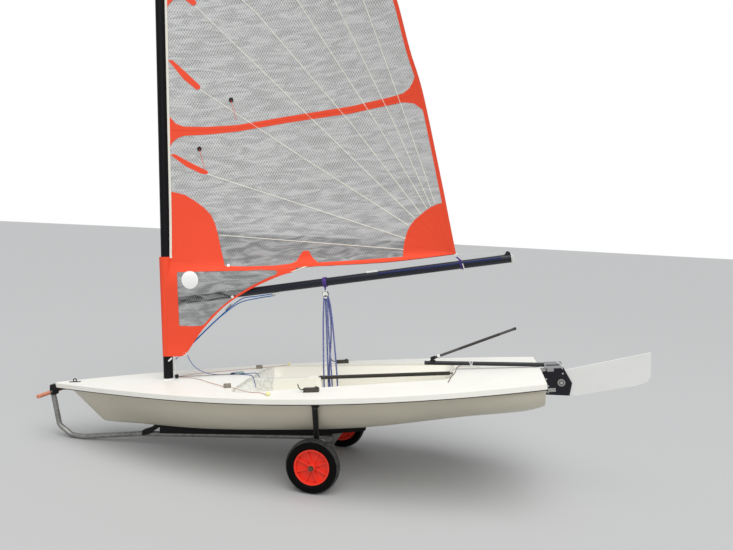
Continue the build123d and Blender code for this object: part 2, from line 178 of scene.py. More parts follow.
def make_world():
    """A dim sky that lights the boat, seen as plain white."""
    world = bpy.data.worlds.new("studio")
    scene.world = world
    world.use_nodes = True
    tree = world.node_tree
    tree.nodes.clear()
    paths = tree.nodes.new("ShaderNodeLightPath").outputs
    seen = add_maths(tree, "MAXIMUM", paths["Is Camera Ray"], paths["Is Transmission Ray"])
    white = add_node(tree, "Background", {"Color": (1, 1, 1, 1)})
    sky = add_node(tree, "Background", {"Color": (0.93, 0.96, 1.0, 1), "Strength": 0.5})
    mix = add_node(tree, "MixShader", {0: seen, 1: sky.outputs[0], 2: white.outputs[0]})
    add_node(tree, "OutputWorld", {"Surface": mix.outputs[0]})


camera = make_camera()
make_world()
# each light's place, target, size and power
area_light("overhead", (0.5, -1.5, 9.0), (0, 0, 0.5), 7.0, 90)
area_light("front", (1.0, -9.0, 4.5), (0, 0, 1.0), 5.0, 60)
soft_sun((0.25, -0.45, 1.0), 2.5, 1.1)
scene.view_settings.view_transform = "Standard"


# materials
def shade(
    name, color, rough, shine=0.5, metal=0.0, coat=0.0, spot=0.0, spot_size=6.0, bump=0.0, bump_size=0.0
):
    """A principled material; spot darkens it in soft patches, bump roughens it."""
    made = bpy.data.materials.new(name)
    made.use_nodes = True
    made.diffuse_color = (*color, 1)
    tree = made.node_tree
    base = tree.nodes["Principled BSDF"]
    base.inputs["Base Color"].default_value = (*color, 1)
    base.inputs["Roughness"].default_value = rough
    base.inputs["Metallic"].default_value = metal
    base.inputs["Specular IOR Level"].default_value = shine
    base.inputs["Coat Weight"].default_value = coat
    base.inputs["Coat Roughness"].default_value = 0.12
    if spot or bump:
        place = tree.nodes.new("ShaderNodeTexCoord").outputs["Object"]
    if spot:
        dark = [c * (1 - spot) for c in color]
        patches = add_ramp(tree, add_noise(tree, place, spot_size, 5), (0.35, dark), (0.62, color))
        feed(tree, base, {"Base Color": patches})
    if bump:
        add_bump(tree, add_noise(tree, place, bump_size, 3), bump, 0.002)
    return made


def make_film_material():
    """Clear creased laminate, its creases' shade and sheen painted into its colour, with a scrim of
    crossed threads, drawn in the film's own UVs in metres.
    """
    thread_slope, thread_gap, thread_half = 0.6, 0.0095, 0.0016
    faint_below, clearer_by, faintest = 0.45, 0.9, 0.35
    clear_film, thread_cover = 0.68, 0.18
    made = shade("sail_film", (0.2, 0.205, 0.21), 0.3, shine=0.35)
    tree = made.node_tree
    place = tree.nodes.new("ShaderNodeUVMap")
    axes = add_node(tree, "SeparateXYZ", {0: place.outputs[0]})
    along, up = axes.outputs[0], axes.outputs[1]
    shear = add_maths(tree, "MULTIPLY", up, thread_slope)
    lines = []
    for lean in ("ADD", "SUBTRACT"):
        wave = add_maths(tree, "PINGPONG", add_maths(tree, lean, along, shear), thread_gap)
        lines.append(add_maths(tree, "LESS_THAN", wave, thread_half))
    fade = add_maths(tree, "MULTIPLY", add_maths(tree, "SUBTRACT", up, faint_below), clearer_by)
    weight = add_maths(tree, "MINIMUM", add_maths(tree, "MAXIMUM", fade, faintest), 1.0)
    scrim = add_maths(tree, "MULTIPLY", add_maths(tree, "MAXIMUM", *lines), weight)
    cover = add_maths(tree, "ADD", add_maths(tree, "MULTIPLY", scrim, thread_cover), clear_film)
    # creases run along the sail's chord: a bump, and a ramp that paints their shade and sheen into the
    # film's colour
    stretch = add_node(tree, "CombineXYZ", {0: add_maths(tree, "MULTIPLY", along, 0.22), 1: up})
    noise = add_noise(tree, stretch.outputs[0], 30, 4, 0.9)
    add_bump(tree, noise, 0.7, 0.02)
    crease_shade_and_sheen = add_ramp(tree, noise, (0.38, (0.012, 0.013, 0.014)), (0.62, (0.3, 0.305, 0.3)))
    color = add_tint(tree, scrim, crease_shade_and_sheen, (0.5, 0.505, 0.48, 1))
    feed(tree, tree.nodes["Principled BSDF"], {"Base Color": color, "Alpha": cover})
    return made


def make_liner_material():
    """Cream moulding, with grey grains of non-skid on the cockpit's forward end."""
    cream = (0.87, 0.85, 0.75)
    patch_end, patch_slant = 1.764, 0.304
    made = shade("liner_cream", cream, 0.45)
    tree = made.node_tree
    place = tree.nodes.new("ShaderNodeTexCoord").outputs["Object"]
    axes = add_node(tree, "SeparateXYZ", {0: place}).outputs
    slant = add_maths(tree, "ADD", axes[0], add_maths(tree, "MULTIPLY", axes[1], patch_slant))
    fore = add_maths(tree, "LESS_THAN", slant, patch_end + HOME)
    grains = add_noise(tree, place, 55, 4)
    cover = add_ramp(tree, grains, (0.4, (1, 1, 1)), (0.58, (0.35, 0.35, 0.35)))
    color = add_tint(tree, add_maths(tree, "MULTIPLY", fore, cover), (*cream, 1), (0.62, 0.62, 0.58, 1))
    feed(tree, tree.nodes["Principled BSDF"], {"Base Color": color})
    return made


RED_CLOTH = (0.86, 0.075, 0.028)
ROPE_GRAIN = dict(bump=0.5, bump_size=700)
# colour, roughness, shine, and what else the finish has
LOOKS = {
    # hull_white is the deck's white gelcoat greyed and warmed: painted shade of the hull's sides, with
    # some dirt
    "hull_white": ((0.59, 0.55, 0.44), 0.35, 0.4, dict(spot=0.05, spot_size=3, coat=0.1)),
    "deck_white": ((0.85, 0.835, 0.765), 0.42, 0.5, dict(spot=0.03, spot_size=4)),
    "fitting_grey": ((0.8, 0.8, 0.77), 0.4, 0.5, {}),
    "spar_black": ((0.006, 0.006, 0.007), 0.42, 0.13, {}),
    "boom_black": ((0.01, 0.012, 0.02), 0.3, 0.32, {}),
    "plastic_black": ((0.012, 0.012, 0.014), 0.5, 0.22, {}),
    "cleat_brown": ((0.085, 0.078, 0.062), 0.6, 0.3, dict(spot=0.7, spot_size=120)),
    "sleeve_cloth": (RED_CLOTH, 0.6, 0.25, dict(bump=0.2, bump_size=180)),
    "sail_trim": (RED_CLOTH, 0.6, 0.25, dict(bump=0.15, bump_size=180)),
    "seam_red": ((0.7, 0.06, 0.025), 0.7, 0.2, {}),
    "sail_cream": ((0.78, 0.76, 0.66), 0.7, 0.3, {}),
    "disc_white": ((0.8, 0.79, 0.77), 0.6, 0.3, {}),
    "webbing": ((0.04, 0.037, 0.03), 0.75, 0.2, dict(bump=0.4, bump_size=400)),
    "anodised_black": ((0.01, 0.01, 0.014), 0.42, 0.25, {}),
    "steel": ((0.56, 0.56, 0.56), 0.3, 0.5, dict(metal=1.0)),
    "blade_white": ((0.74, 0.74, 0.71), 0.35, 0.5, dict(spot=0.03, coat=0.1)),
    "tube_dark": ((0.02, 0.021, 0.024), 0.4, 0.3, {}),
    "alloy_silver": ((0.5, 0.5, 0.51), 0.35, 0.5, dict(metal=1.0)),
    "rubber_black": ((0.01, 0.01, 0.01), 0.65, 0.2, dict(bump=0.2, bump_size=200)),
    "galvanised": ((0.34, 0.335, 0.32), 0.5, 0.5, dict(metal=0.8, spot=0.3, spot_size=30)),
    "grip_orange": ((0.66, 0.26, 0.15), 0.6, 0.3, dict(spot=0.2, spot_size=25)),
    "tyre": ((0.004, 0.004, 0.004), 0.8, 0.06, dict(bump=0.3, bump_size=150)),
    "tread_grey": ((0.062, 0.063, 0.06), 0.9, 0.1, dict(spot=0.45, spot_size=45)),
    "rim_red": ((0.86, 0.046, 0.022), 0.45, 0.3, {}),
    "rope_blue": ((0.025, 0.09, 0.28), 0.8, 0.2, ROPE_GRAIN),
    "rope_purple": ((0.085, 0.045, 0.23), 0.85, 0.2, ROPE_GRAIN),
    "rope_flecked": ((0.24, 0.27, 0.6), 0.85, 0.2, dict(spot=0.9, spot_size=190)),
    "rope_red": ((0.46, 0.24, 0.21), 0.8, 0.2, ROPE_GRAIN),
    "rope_white": ((0.7, 0.69, 0.64), 0.8, 0.2, ROPE_GRAIN),
    "rope_brown": ((0.2, 0.155, 0.115), 0.85, 0.2, {}),
    "knot_blue": ((0.36, 0.46, 0.47), 0.6, 0.3, dict(spot=0.5, spot_size=80)),
    "block_beige": ((0.34, 0.3, 0.24), 0.6, 0.3, dict(spot=0.5, spot_size=90)),
    "line_blue": ((0.02, 0.15, 0.45), 0.8, 0.2, {}),
    "rope_navy": ((0.02, 0.03, 0.115), 0.8, 0.2, {}),
    # painted shadow under the gunwale's lip
    "lip_shadow_brown": ((0.05, 0.036, 0.025), 0.7, 0.2, {}),
    "hub_brown": ((0.12, 0.07, 0.04), 0.6, 0.3, dict(spot=0.4, spot_size=60)),
    "gudgeon_grey": ((0.3, 0.3, 0.29), 0.45, 0.4, {}),
    "extension_grey": ((0.075, 0.072, 0.066), 0.5, 0.3, {}),
    "grip_grey": ((0.05, 0.046, 0.042), 0.65, 0.2, {}),
    "ball_yellow": ((0.84, 0.78, 0.36), 0.45, 0.5, {}),
}
M = {name: shade(name, *look, **more) for name, (*look, more) in LOOKS.items()}
M["liner_cream"] = make_liner_material()
M["sail_film"] = make_film_material()

# nodes with a finish of their own inside their slot
FINISHES = {
    "boom": "boom_black",
    "bow_eye": "plastic_black",
    "cam_cleats": "cleat_brown",
    "side_blocks": "block_beige",
    "tiller_extension": "extension_grey",
}
subparts = frame["record"]["subparts"]
for part in subparts:
    made = M.get(FINISHES.get(part["node"], part["material_slot"]))
    if made:
        for place in nodes[part["node"]].material_slots:
            place.material = made

# the record's slot of each material that has one
SLOTS = {part["material_slot"]: part["material_slot"] for part in subparts}
SLOTS.update({"sail_trim": "sleeve_cloth", "seam_red": "sleeve_cloth"})

# free ropes: routes in the boat's frame, in metres
CORD_DIAMETER = 0.005
CORDS = {
    "control_line": [
        (1.122, -0.035, 0.205), (1.134, -0.031, 0.166), (1.156, -0.016, 0.120), (1.178, 0.022, 0.080),
        (1.216, 0.066, 0.046), (1.272, 0.090, 0.0283), (1.334, 0.088, 0.0281), (1.398, 0.097, 0.0279),
        (1.462, 0.088, 0.0278), (1.520, 0.098, 0.0276), (1.568, 0.106, 0.0282), (1.612, 0.088, 0.0306),
        (1.632, 0.066, -0.004), (1.640, 0.054, -0.036),
    ],
    "control_tail": [
        (1.474, 0.074, 0.0279), (1.522, 0.058, 0.028), (1.570, 0.032, 0.0286), (1.604, -0.006, 0.0306),
        (1.626, -0.040, 0.012), (1.642, -0.066, -0.018), (1.656, -0.090, -0.042),
    ],
}


def make_cord(name, route):
    """A limp rope with bare ends, in place of the cord of that name in the frame."""
    points = [BOAT @ Vector(point) for point in route]
    data = bpy.data.curves.new(name + "_rope", "CURVE")
    data.dimensions = "3D"
    data.bevel_depth = CORD_DIAMETER / 2
    data.bevel_resolution = 4
    data.resolution_u = 8
    data.use_fill_caps = True
    spline = data.splines.new("NURBS")
    spline.points.add(len(points) - 1)
    for knot, point in zip(spline.points, points):
        knot.co = (*point, 1)
    spline.order_u = 3
    spline.use_endpoint_u = True
    data.materials.append(M["rope_blue"])
    made = bpy.data.objects.new(name + "_rope", data)
    scene.collection.objects.link(made)
    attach(made, "hull")
    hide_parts(name)


for cord_name, cord_route in CORDS.items():
    make_cord(cord_name, cord_route)


# helpers: pieces are built in the boat's frame or the trolley's, in metres
ALONG, ACROSS, UPRIGHT = (1, 0, 0), (0, 1, 0), (0, 0, 1)
SHARP_ANGLE = math.radians(40)


def turns(count):
    """Evenly spaced angles, once round."""
    return [2 * math.pi * k / count for k in range(count)]


def join_rings(mesh, rings):
    """Faces between each closed ring of points and the next."""
    for low, high in zip(rings, rings[1:]):
        for k in range(len(low)):
            after = (k + 1) % len(low)
            mesh.faces.new((low[k], low[after], high[after], high[k]))


def add_tube(mesh, points, radius, sides=8):
    """Round tube through the points, closed at both ends."""
    points = [Vector(p) for p in points]
    rings = []
    side = None
    for i, at in enumerate(points):
        ahead = (points[min(i + 1, len(points) - 1)] - points[max(i - 1, 0)]).normalized()
        if side is None:
            side = ahead.orthogonal().normalized()
        side = (side - ahead * side.dot(ahead)).normalized()
        up = ahead.cross(side)
        ring = [at + (side * math.cos(turn) + up * math.sin(turn)) * radius for turn in turns(sides)]
        rings.append([mesh.verts.new(place) for place in ring])
    join_rings(mesh, rings)
    mesh.faces.new(list(reversed(rings[0])))
    mesh.faces.new(rings[-1])


def add_box(mesh, centre, size, bevel, tilt=0.0):
    """Box turned by tilt about y, with its edges eased by bevel."""
    made = bmesh.ops.create_cube(mesh, size=1.0)["verts"]
    turn = Matrix.Translation(centre) @ Matrix.Rotation(tilt, 4, "Y") @ Matrix.Diagonal((*size, 1))
    bmesh.ops.transform(mesh, matrix=turn, verts=made)
    edges = list({e for v in made for e in v.link_edges})
    bmesh.ops.bevel(mesh, geom=edges, offset=bevel, segments=2, affect="EDGES")


def add_disc(mesh, centre, axis, radius, thick, sides=24):
    """Flat disc about an axis."""
    half = Vector(axis).normalized() * thick / 2
    add_tube(mesh, [Vector(centre) - half, Vector(centre) + half], radius, sides)


def add_ball(mesh, centre, radius):
    made = bmesh.ops.create_uvsphere(mesh, u_segments=14, v_segments=8, radius=radius)["verts"]
    bmesh.ops.translate(mesh, vec=Vector(centre), verts=made)


def add_ring(mesh, centre, axis, radius, thick, sides=18):
    """Round ring about an axis."""
    axis = Vector(axis).normalized()
    side = axis.orthogonal().normalized()
    up = axis.cross(side)
    points = []
    for k in range(sides + 1):
        turn = 2 * math.pi * k / sides
        points.append(Vector(centre) + (side * math.cos(turn) + up * math.sin(turn)) * radius)
    add_tube(mesh, points, thick, 6)


def piece(name, material, body, where=BOAT):
    """Runs the function under it on an empty mesh, and makes that an object that rides on a body."""

    def make(build):
        mesh = bmesh.new()
        build(mesh)
        bmesh.ops.transform(mesh, matrix=where, verts=mesh.verts)
        data = bpy.data.meshes.new(name)
        mesh.to_mesh(data)
        mesh.free()
        data.materials.append(M[material])
        data.shade_smooth()
        data.set_sharp_from_angle(angle=SHARP_ANGLE)
        made = bpy.data.objects.new(name, data)
        scene.collection.objects.link(made)
        if body:
            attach(made, body)
        return made

    return make


def curve_through(points, steps):
    """Smooth run of points through the given ones."""
    points = [Vector(p) for p in points]
    run = []
    for i in range(len(points) - 1):
        before, start = points[max(i - 1, 0)], points[i]
        end, after = points[i + 1], points[min(i + 2, len(points) - 1)]
        for k in range(steps):
            t = k / steps
            run.append(
                start
                + (end - before) * (0.5 * t)
                + (before * 2 - start * 5 + end * 4 - after) * (0.5 * t * t)
                + (start * 3 - before - end * 3 + after) * (0.5 * t**3)
            )
    return run + [points[-1]]


# lines of the boat that the pieces lie along, in its own frame
def boom_z(x):
    """Height of the boom's axis."""
    fore_x, fore_z, slope = 1.052, 0.609, 0.06629
    return fore_z + (x - fore_x) * slope


def tiller_z(x):
    """Height of the tiller's axis."""
    fore_x, fore_z, slope = 2.872, 0.078, 0.0534
    return fore_z - (x - fore_x) * slope


def deck_z(x, y):
    """Height of the deck, which falls a little aft and is rounded across."""
    bow_z, slope, crown = 0.029, 0.0024, 14.6
    return bow_z - slope * x - y * y / crown


def mast_x(z):
    """Place of the mast's axis, which leans aft."""
    foot_x, foot_z, rake = 0.938, 0.03, 3.6
    return foot_x + (z - foot_z) * math.tan(math.radians(rake))


def mast_reach(z):
    """Distance of the luff from the mast's axis: by the boom, by the lower mast, by the upper one."""
    boom_top, joint, upper_length, taper = 0.945, 2.96, 1.76, 0.016
    if z <= boom_top:
        return 0.0392
    if z <= joint:
        return 0.0358
    return 0.0328 - (z - joint) / upper_length * taper


# sail's rows, tack to head: luff z, luff's angle round the mast, leech x, y and z, curve to starboard
SAIL_ROWS = [
    (0.203, -69, 1.068, -0.035, 0.199, 0.0005),
    (0.222, -69, 1.100, -0.035, 0.209, -0.0005),
    (0.262, -69, 1.130, -0.035, 0.237, -0.001),
    (0.315, -69, 1.178, -0.035, 0.296, -0.002),
    (0.405, -69, 1.262, -0.036, 0.395, -0.004),
    (0.545, -69, 1.443, -0.038, 0.554, -0.006),
    (0.655, -69, 1.650, -0.040, 0.667, -0.008),
    (0.735, -66, 1.862, -0.040, 0.746, -0.008),
    (0.778, -55, 1.980, -0.036, 0.774, -0.002),
    (0.805, -44, 2.081, -0.032, 0.803, 0.006),
    (0.850, -30, 2.650, 0.010, 0.799, 0.058),
    (0.900, -15, 3.137, 0, 0.825, 0.100),
    (1.090, -6, 3.103, 0, 1.080, 0.128),
    (1.330, 0, 3.070, 0, 1.330, 0.150),
    (1.850, 0, 2.981, 0, 1.942, 0.160),
    (2.160, 0, 2.911, 0, 2.243, 0.158),
    (2.510, 0, 2.844, 0, 2.590, 0.150),
    (2.850, 0, 2.762, 0, 2.900, 0.140),
    (3.290, 0, 2.600, 0, 3.350, 0.125),
    (3.680, 0, 2.400, 0, 3.760, 0.108),
    (4.010, 0, 2.190, 0, 4.100, 0.088),
    (4.250, 0, 1.980, 0, 4.370, 0.068),
    (4.430, 0, 1.770, 0, 4.560, 0.042),
    (4.560, 0, 1.640, 0, 4.640, 0.025),
]
FOOT_ROW = 9
CLEW_ROW = 11
HEAD_ROW = len(SAIL_ROWS) - 1


def sail_row(at):
    """Luff point, leech point and depth of the section at a row's number, fractions included."""
    first = min(int(at), HEAD_ROW - 1)
    bends = (0, FOOT_ROW, CLEW_ROW, HEAD_ROW)
    low = max(bend for bend in bends[:-1] if bend <= first)
    high = min(bend for bend in bends if bend > first)
    a, b, c, d = (SAIL_ROWS[min(max(first + k, low), high)] for k in (-1, 0, 1, 2))
    t = at - first
    blend = [
        q + 0.5 * t * ((r - p) + t * ((2 * p - 5 * q + 4 * r - s) + t * (3 * (q - r) + s - p)))
        for p, q, r, s in zip(a, b, c, d)
    ]
    z, angle, leech_x, leech_y, leech_z, depth = blend
    angle = math.radians(angle)
    reach, side_gap = mast_reach(z), 0.001
    luff = Vector((mast_x(z) + math.cos(angle) * reach, math.sin(angle) * (reach + side_gap), z))
    return luff, Vector((leech_x, leech_y, leech_z)), depth


def sail_point(u, at):
    """Point of the sail at a share of the way from luff to leech."""
    luff, leech, depth = sail_row(at)
    point = luff.lerp(leech, u)
    point.y += 4 * depth * u * (1 - u)
    return point


@piece("sail_film", "sail_film", None)
def film(mesh):
    """The clear film of the whole sail, with its own metres as UVs."""
    across, row_gap = 64, 0.03
    marks = []
    for i in range(HEAD_ROW):
        steps = max(3, round((SAIL_ROWS[i + 1][0] - SAIL_ROWS[i][0]) / row_gap))
        marks += [i + k / steps for k in range(steps)]
    marks.append(HEAD_ROW)
    uv = mesh.loops.layers.uv.new("UVMap")
    grid = [[mesh.verts.new(sail_point(k / across, at)) for k in range(across + 1)] for at in marks]
    for low, high in zip(grid, grid[1:]):
        for k in range(across):
            face = mesh.faces.new((low[k], low[k + 1], high[k + 1], high[k]))
            for loop in face.loops:
                loop[uv].uv = (loop.vert.co.x, loop.vert.co.z)


to_boat = BOAT.inverted()
eye = to_boat @ camera.matrix_world.translation
film_places = [to_boat @ v.co for v in film.data.vertices]
film_tree = BVHTree.FromPolygons(film_places, [list(p.vertices) for p in film.data.polygons])


def on_film(x, z):
    """Point of the sail seen through a point of the middle plane, and the sail's normal there."""
    through = Vector((x, 0, z))
    hit, normal, _, _ = film_tree.ray_cast(eye, (through - eye).normalized())
    if hit is None:
        nearby = film_tree.find_nearest(through)[0]
        sight = (through - eye) * ((nearby.y - eye.y) / -eye.y) + eye
        hit, normal, _, _ = film_tree.find_nearest(sight)
    return hit, normal if normal.y < 0 else -normal


def inside(point, outline):
    """True where a point of the middle plane lies within a closed outline."""
    x, z = point
    odd = False
    for (x0, z0), (x1, z1) in zip(outline, outline[1:] + outline[:1]):
        if (z0 > z) != (z1 > z) and x < x0 + (z - z0) / (z1 - z0) * (x1 - x0):
            odd = not odd
    return odd


def refined(outline, step):
    """The closed outline with points added so that none is further than step from the next."""
    fine = []
    for (x0, z0), (x1, z1) in zip(outline, outline[1:] + outline[:1]):
        count = max(1, math.ceil(math.hypot(x1 - x0, z1 - z0) / step))
        fine += [(x0 + (x1 - x0) * k / count, z0 + (z1 - z0) * k / count) for k in range(count)]
    return fine


def add_patch(mesh, outline, lift, step=0.028, holes=()):
    """Cloth laid on both sides of the film within an outline drawn on the middle plane."""
    rings = [refined(ring, step) for ring in (outline, *holes)]
    points = [Vector(p) for ring in rings for p in ring]
    edges = []
    start = 0
    for ring in rings:
        count = len(ring)
        edges += [(start + k, start + (k + 1) % count) for k in range(count)]
        start += count
    xs = [p[0] for p in outline]
    zs = [p[1] for p in outline]
    x = min(xs) + step / 2
    while x < max(xs):
        z = min(zs) + step / 2
        while z < max(zs):
            if inside((x, z), outline) and not any(inside((x, z), hole) for hole in holes):
                points.append(Vector((x, z)))
            z += step
        x += step
    flat, _, faces, *_ = delaunay_2d_cdt(points, edges, [], 1, 1e-6)
    spots = [on_film(p.x, p.y) for p in flat]
    for side in (1, -1):
        verts = [mesh.verts.new(hit + normal * (lift * side)) for hit, normal in spots]
        for face in faces:
            middle = sum((flat[i] for i in face), Vector((0, 0))) / len(face)
            if any(inside(middle, hole) for hole in holes) or not inside(middle, outline):
                continue
            mesh.faces.new([verts[i] for i in (face if side < 0 else reversed(face))])


def line_on_film(start, end, lift):
    """Points along the film under a straight line drawn on the middle plane."""
    longest_step = 0.05
    count = max(2, math.ceil(math.dist(start, end) / longest_step))
    run = []
    for k in range(count + 1):
        x = start[0] + (end[0] - start[0]) * k / count
        z = start[1] + (end[1] - start[1]) * k / count
        hit, normal = on_film(x, z)
        run.append(hit + normal * lift)
    return run


# red panels of the sail, drawn on the middle plane as seen by the camera
WINDOW = [
    (1.074, 0.824), (1.374, 0.814), (1.605, 0.803), (1.830, 0.793), (1.851, 0.782), (1.840, 0.762),
    (1.768, 0.739), (1.642, 0.688), (1.522, 0.627), (1.415, 0.559), (1.315, 0.482), (1.256, 0.422),
    (1.227, 0.416), (1.151, 0.416), (1.059, 0.425), (1.065, 0.617),
]
FOOT_PANEL = [
    (0.930, 0.945), (1.052, 0.940), (1.446, 0.848), (1.607, 0.834), (1.835, 0.826), (1.956, 0.832),
    (2.000, 0.848), (2.033, 0.895), (2.056, 0.919), (2.094, 0.918), (2.120, 0.866), (2.157, 0.828),
    (2.450, 0.826), (2.769, 0.829), (3.160, 0.850), (3.160, 0.795), (2.769, 0.780), (2.081, 0.790),
    (2.000, 0.768), (1.860, 0.733), (1.767, 0.703), (1.641, 0.652), (1.529, 0.600), (1.430, 0.538),
    (1.330, 0.453), (1.253, 0.382), (1.200, 0.325), (1.147, 0.252), (1.100, 0.190), (1.052, 0.180),
    (0.900, 0.190), (0.900, 0.945),
]
LUFF_PATCH = [
    (1.030, 1.425), (1.094, 1.420), (1.184, 1.392), (1.261, 1.340), (1.325, 1.288), (1.377, 1.228),
    (1.404, 1.160), (1.419, 1.085), (1.436, 0.960), (1.455, 0.845), (1.300, 0.870), (1.000, 0.930),
]
CLEW_PATCH = [
    (2.769, 0.820), (2.776, 0.890), (2.792, 0.952), (2.810, 1.000), (2.833, 1.040), (2.868, 1.080),
    (2.910, 1.111), (2.947, 1.138), (2.986, 1.160), (3.025, 1.174), (3.063, 1.182), (3.140, 1.190),
    (3.200, 0.780), (2.769, 0.780),
]
BATTEN = [
    (1.040, 2.030), (1.104, 2.010), (1.120, 1.965), (1.160, 1.915), (1.221, 1.888), (1.400, 1.868),
    (1.627, 1.858), (1.990, 1.880), (2.321, 1.897), (2.479, 1.905), (2.740, 1.936), (2.845, 1.954),
    (2.890, 1.984), (2.915, 2.020), (2.934, 2.063), (3.060, 2.100), (3.060, 1.800), (2.985, 1.815),
    (2.958, 1.842), (2.915, 1.878), (2.840, 1.894), (2.700, 1.880), (2.479, 1.856), (2.321, 1.850),
    (1.990, 1.836), (1.627, 1.812), (1.400, 1.812), (1.215, 1.822), (1.160, 1.808), (1.120, 1.780),
    (1.094, 1.745), (1.030, 1.740),
]
HEAD_PANEL = [
    (1.120, 4.420), (1.300, 4.430), (1.560, 4.480), (1.730, 4.560), (1.700, 4.720), (1.120, 4.720),
]
DARTS = [
    [
        (1.165, 2.987), (1.196, 2.976), (1.290, 2.880), (1.390, 2.773), (1.391, 2.753), (1.362, 2.745),
        (1.270, 2.830),
    ],
    [
        (1.135, 2.384), (1.176, 2.373), (1.270, 2.277), (1.370, 2.170), (1.371, 2.150), (1.342, 2.142),
        (1.250, 2.227),
    ],
    [
        (1.096, 1.694), (1.129, 1.697), (1.246, 1.624), (1.380, 1.548), (1.375, 1.525), (1.324, 1.535),
        (1.212, 1.598),
    ],
]
# the lower batten's pocket, from its luff end
BATTEN_START = 1.094
BATTEN_LENGTH = 1.876
# upper battens, past the photograph's edge: shifts of their luff and leech ends from the lower one's
UPPER_BATTENS = [
    ((0.062, 0.998), (-0.208, 0.960)),
    ((0.100, 1.820), (-0.570, 1.810)),
    ((0.130, 2.382), (-0.990, 2.417)),
]
# lines of stitching: along the batten, and from the clew through its patch
BATTEN_SEAM = [
    (1.120, 1.870), (1.400, 1.845), (1.627, 1.835), (1.990, 1.858), (2.321, 1.873), (2.479, 1.880),
    (2.760, 1.908), (2.930, 1.940),
]
CLEW_POINT = (3.105, 0.845)
CLEW_SEAM_ENDS = [
    (2.792, 0.905), (2.806, 0.985), (2.846, 1.052), (2.892, 1.098), (2.944, 1.134), (3.000, 1.164),
]
# thick threads in the film
THREADS = [
    [(1.424, 1.077), (2.780, 0.880)],
    [(1.370, 1.528), (2.284, 1.161), (2.799, 0.955)],
    [(1.370, 2.140), (2.081, 1.596), (2.826, 1.043)],
    [(1.380, 2.740), (2.221, 1.807), (2.871, 1.088)],
    [(1.830, 2.640), (2.459, 1.797), (2.914, 1.117)],
    [(2.110, 2.740), (2.662, 1.742), (2.958, 1.149)],
    [(2.370, 2.740), (2.780, 1.730), (2.986, 1.163)],
    [(2.600, 2.660), (2.836, 1.842), (3.015, 1.179)],
    [(2.110, 2.740), (1.500, 3.600)],
    [(2.370, 2.740), (1.900, 3.640)],
    [(2.600, 2.660), (2.200, 3.620)],
    [(1.830, 2.640), (1.200, 3.300)],
]
# round marks: x, z, radius
TACK_DISC = (1.172, 0.761, 0.066)
EYELETS = [(1.482, 0.85, 0.012), (1.494, 0.618, 0.011)]
FOOT_STRIP = [(1.42, 0.534), (1.428, 0.523), (1.481, 0.563), (1.473, 0.574)]
TELLTALES = [(1.598, 2.042), (1.327, 1.715)]
TELLTALE_DOT = 0.018

# distance between the points of small patches, and how far each cloth is from the film
FINE_STEP = 0.02
HEAD_LIFT = 0.0012
PANEL_LIFT = 0.0014
MARK_LIFT = 0.0016
CLEW_SEAM_LIFT = 0.0021
PATCH_LIFT = 0.0022
BATTEN_SEAM_LIFT = 0.0023
POCKET_LIFT = 0.0024
EDGE_TAPE_LIFT = 0.003
EYELET_LIFT = 0.0034
LUFF_TAPE_LIFT = 0.0035
STRIP_LIFT = 0.0042


def upper_batten(luff, leech):
    """The lower batten's pocket moved to another height and stretched to the sail's width there."""
    moved = []
    for x, z in BATTEN:
        share = (x - BATTEN_START) / BATTEN_LENGTH
        shift = [a + (b - a) * share for a, b in zip(luff, leech)]
        moved.append((x + shift[0], z + shift[1]))
    return moved


@piece("sail_trim", "sail_trim", "rig")
def trim(mesh):
    """Red panels, corners, batten pockets, darts and head."""
    add_patch(mesh, FOOT_PANEL, PANEL_LIFT, 0.018, [WINDOW])
    for corner in (LUFF_PATCH, CLEW_PATCH):
        add_patch(mesh, corner, PATCH_LIFT)
    add_patch(mesh, BATTEN, POCKET_LIFT)
    for luff, leech in UPPER_BATTENS:
        add_patch(mesh, upper_batten(luff, leech), POCKET_LIFT)
    for dart in DARTS:
        add_patch(mesh, dart, PATCH_LIFT, FINE_STEP)
    add_patch(mesh, HEAD_PANEL, HEAD_LIFT)


def sail_width(at):
    """Width to measure a tape's by, at a row."""
    luff, leech, _ = sail_row(at)
    return (leech - luff).length


def foot_width(at):
    """The same for the foot, where the sail runs out to a point."""
    narrowest, slant = 0.1, 0.7
    return max(sail_width(at), narrowest) * slant


def spread(low, high, count):
    """Evenly spaced values from low to high."""
    return [low + (high - low) * k / count for k in range(count + 1)]


def add_tape(mesh, rows, edge, width, width_at, lift):
    """Flat strip on both sides of the film along its luff (edge 0) or its leech and foot (edge 1)."""
    pairs = [(sail_point(edge, at), sail_point(abs(edge - width / width_at(at)), at)) for at in rows]
    for side in (1, -1):
        strip = []
        for i, (a, b) in enumerate(pairs):
            c = pairs[min(i + 1, len(pairs) - 1)][0] - pairs[max(i - 1, 0)][0]
            normal = (b - a).cross(c)
            normal = normal.normalized() * (1 if normal.y < 0 else -1)
            strip.append([mesh.verts.new(place + normal * lift * side) for place in (a, b)])
        for (a, b), (c, d) in zip(strip, strip[1:]):
            mesh.faces.new((a, b, d, c))


@piece("sail_edge_tape", "sail_trim", "rig")
def edge_tape(mesh):
    """Red tape along the leech and the foot."""
    add_tape(mesh, spread(CLEW_ROW, HEAD_ROW, 110), 1, 0.026, sail_width, EDGE_TAPE_LIFT)
    add_tape(mesh, spread(0, CLEW_ROW, 60), 1, 0.016, foot_width, EDGE_TAPE_LIFT)


@piece("sail_luff_tape", "sail_cream", "rig")
def luff_tape(mesh):
    """Cream tape up the luff, and a short strip of it on the foot."""
    luff_start, strip_start, strip_step = 11.25, 8.03, 0.102
    strip_rows = [strip_start + k * strip_step for k in range(11)]
    add_tape(mesh, spread(luff_start, HEAD_ROW, 110), 0, 0.016, sail_width, LUFF_TAPE_LIFT)
    add_tape(mesh, strip_rows, 1, 0.018, foot_width, STRIP_LIFT)


def add_stitches(mesh, points, radius, lift=0.0):
    """Thin tubes on the film from each point to the next."""
    for start, end in zip(points, points[1:]):
        add_tube(mesh, line_on_film(start, end, lift), radius, 5)


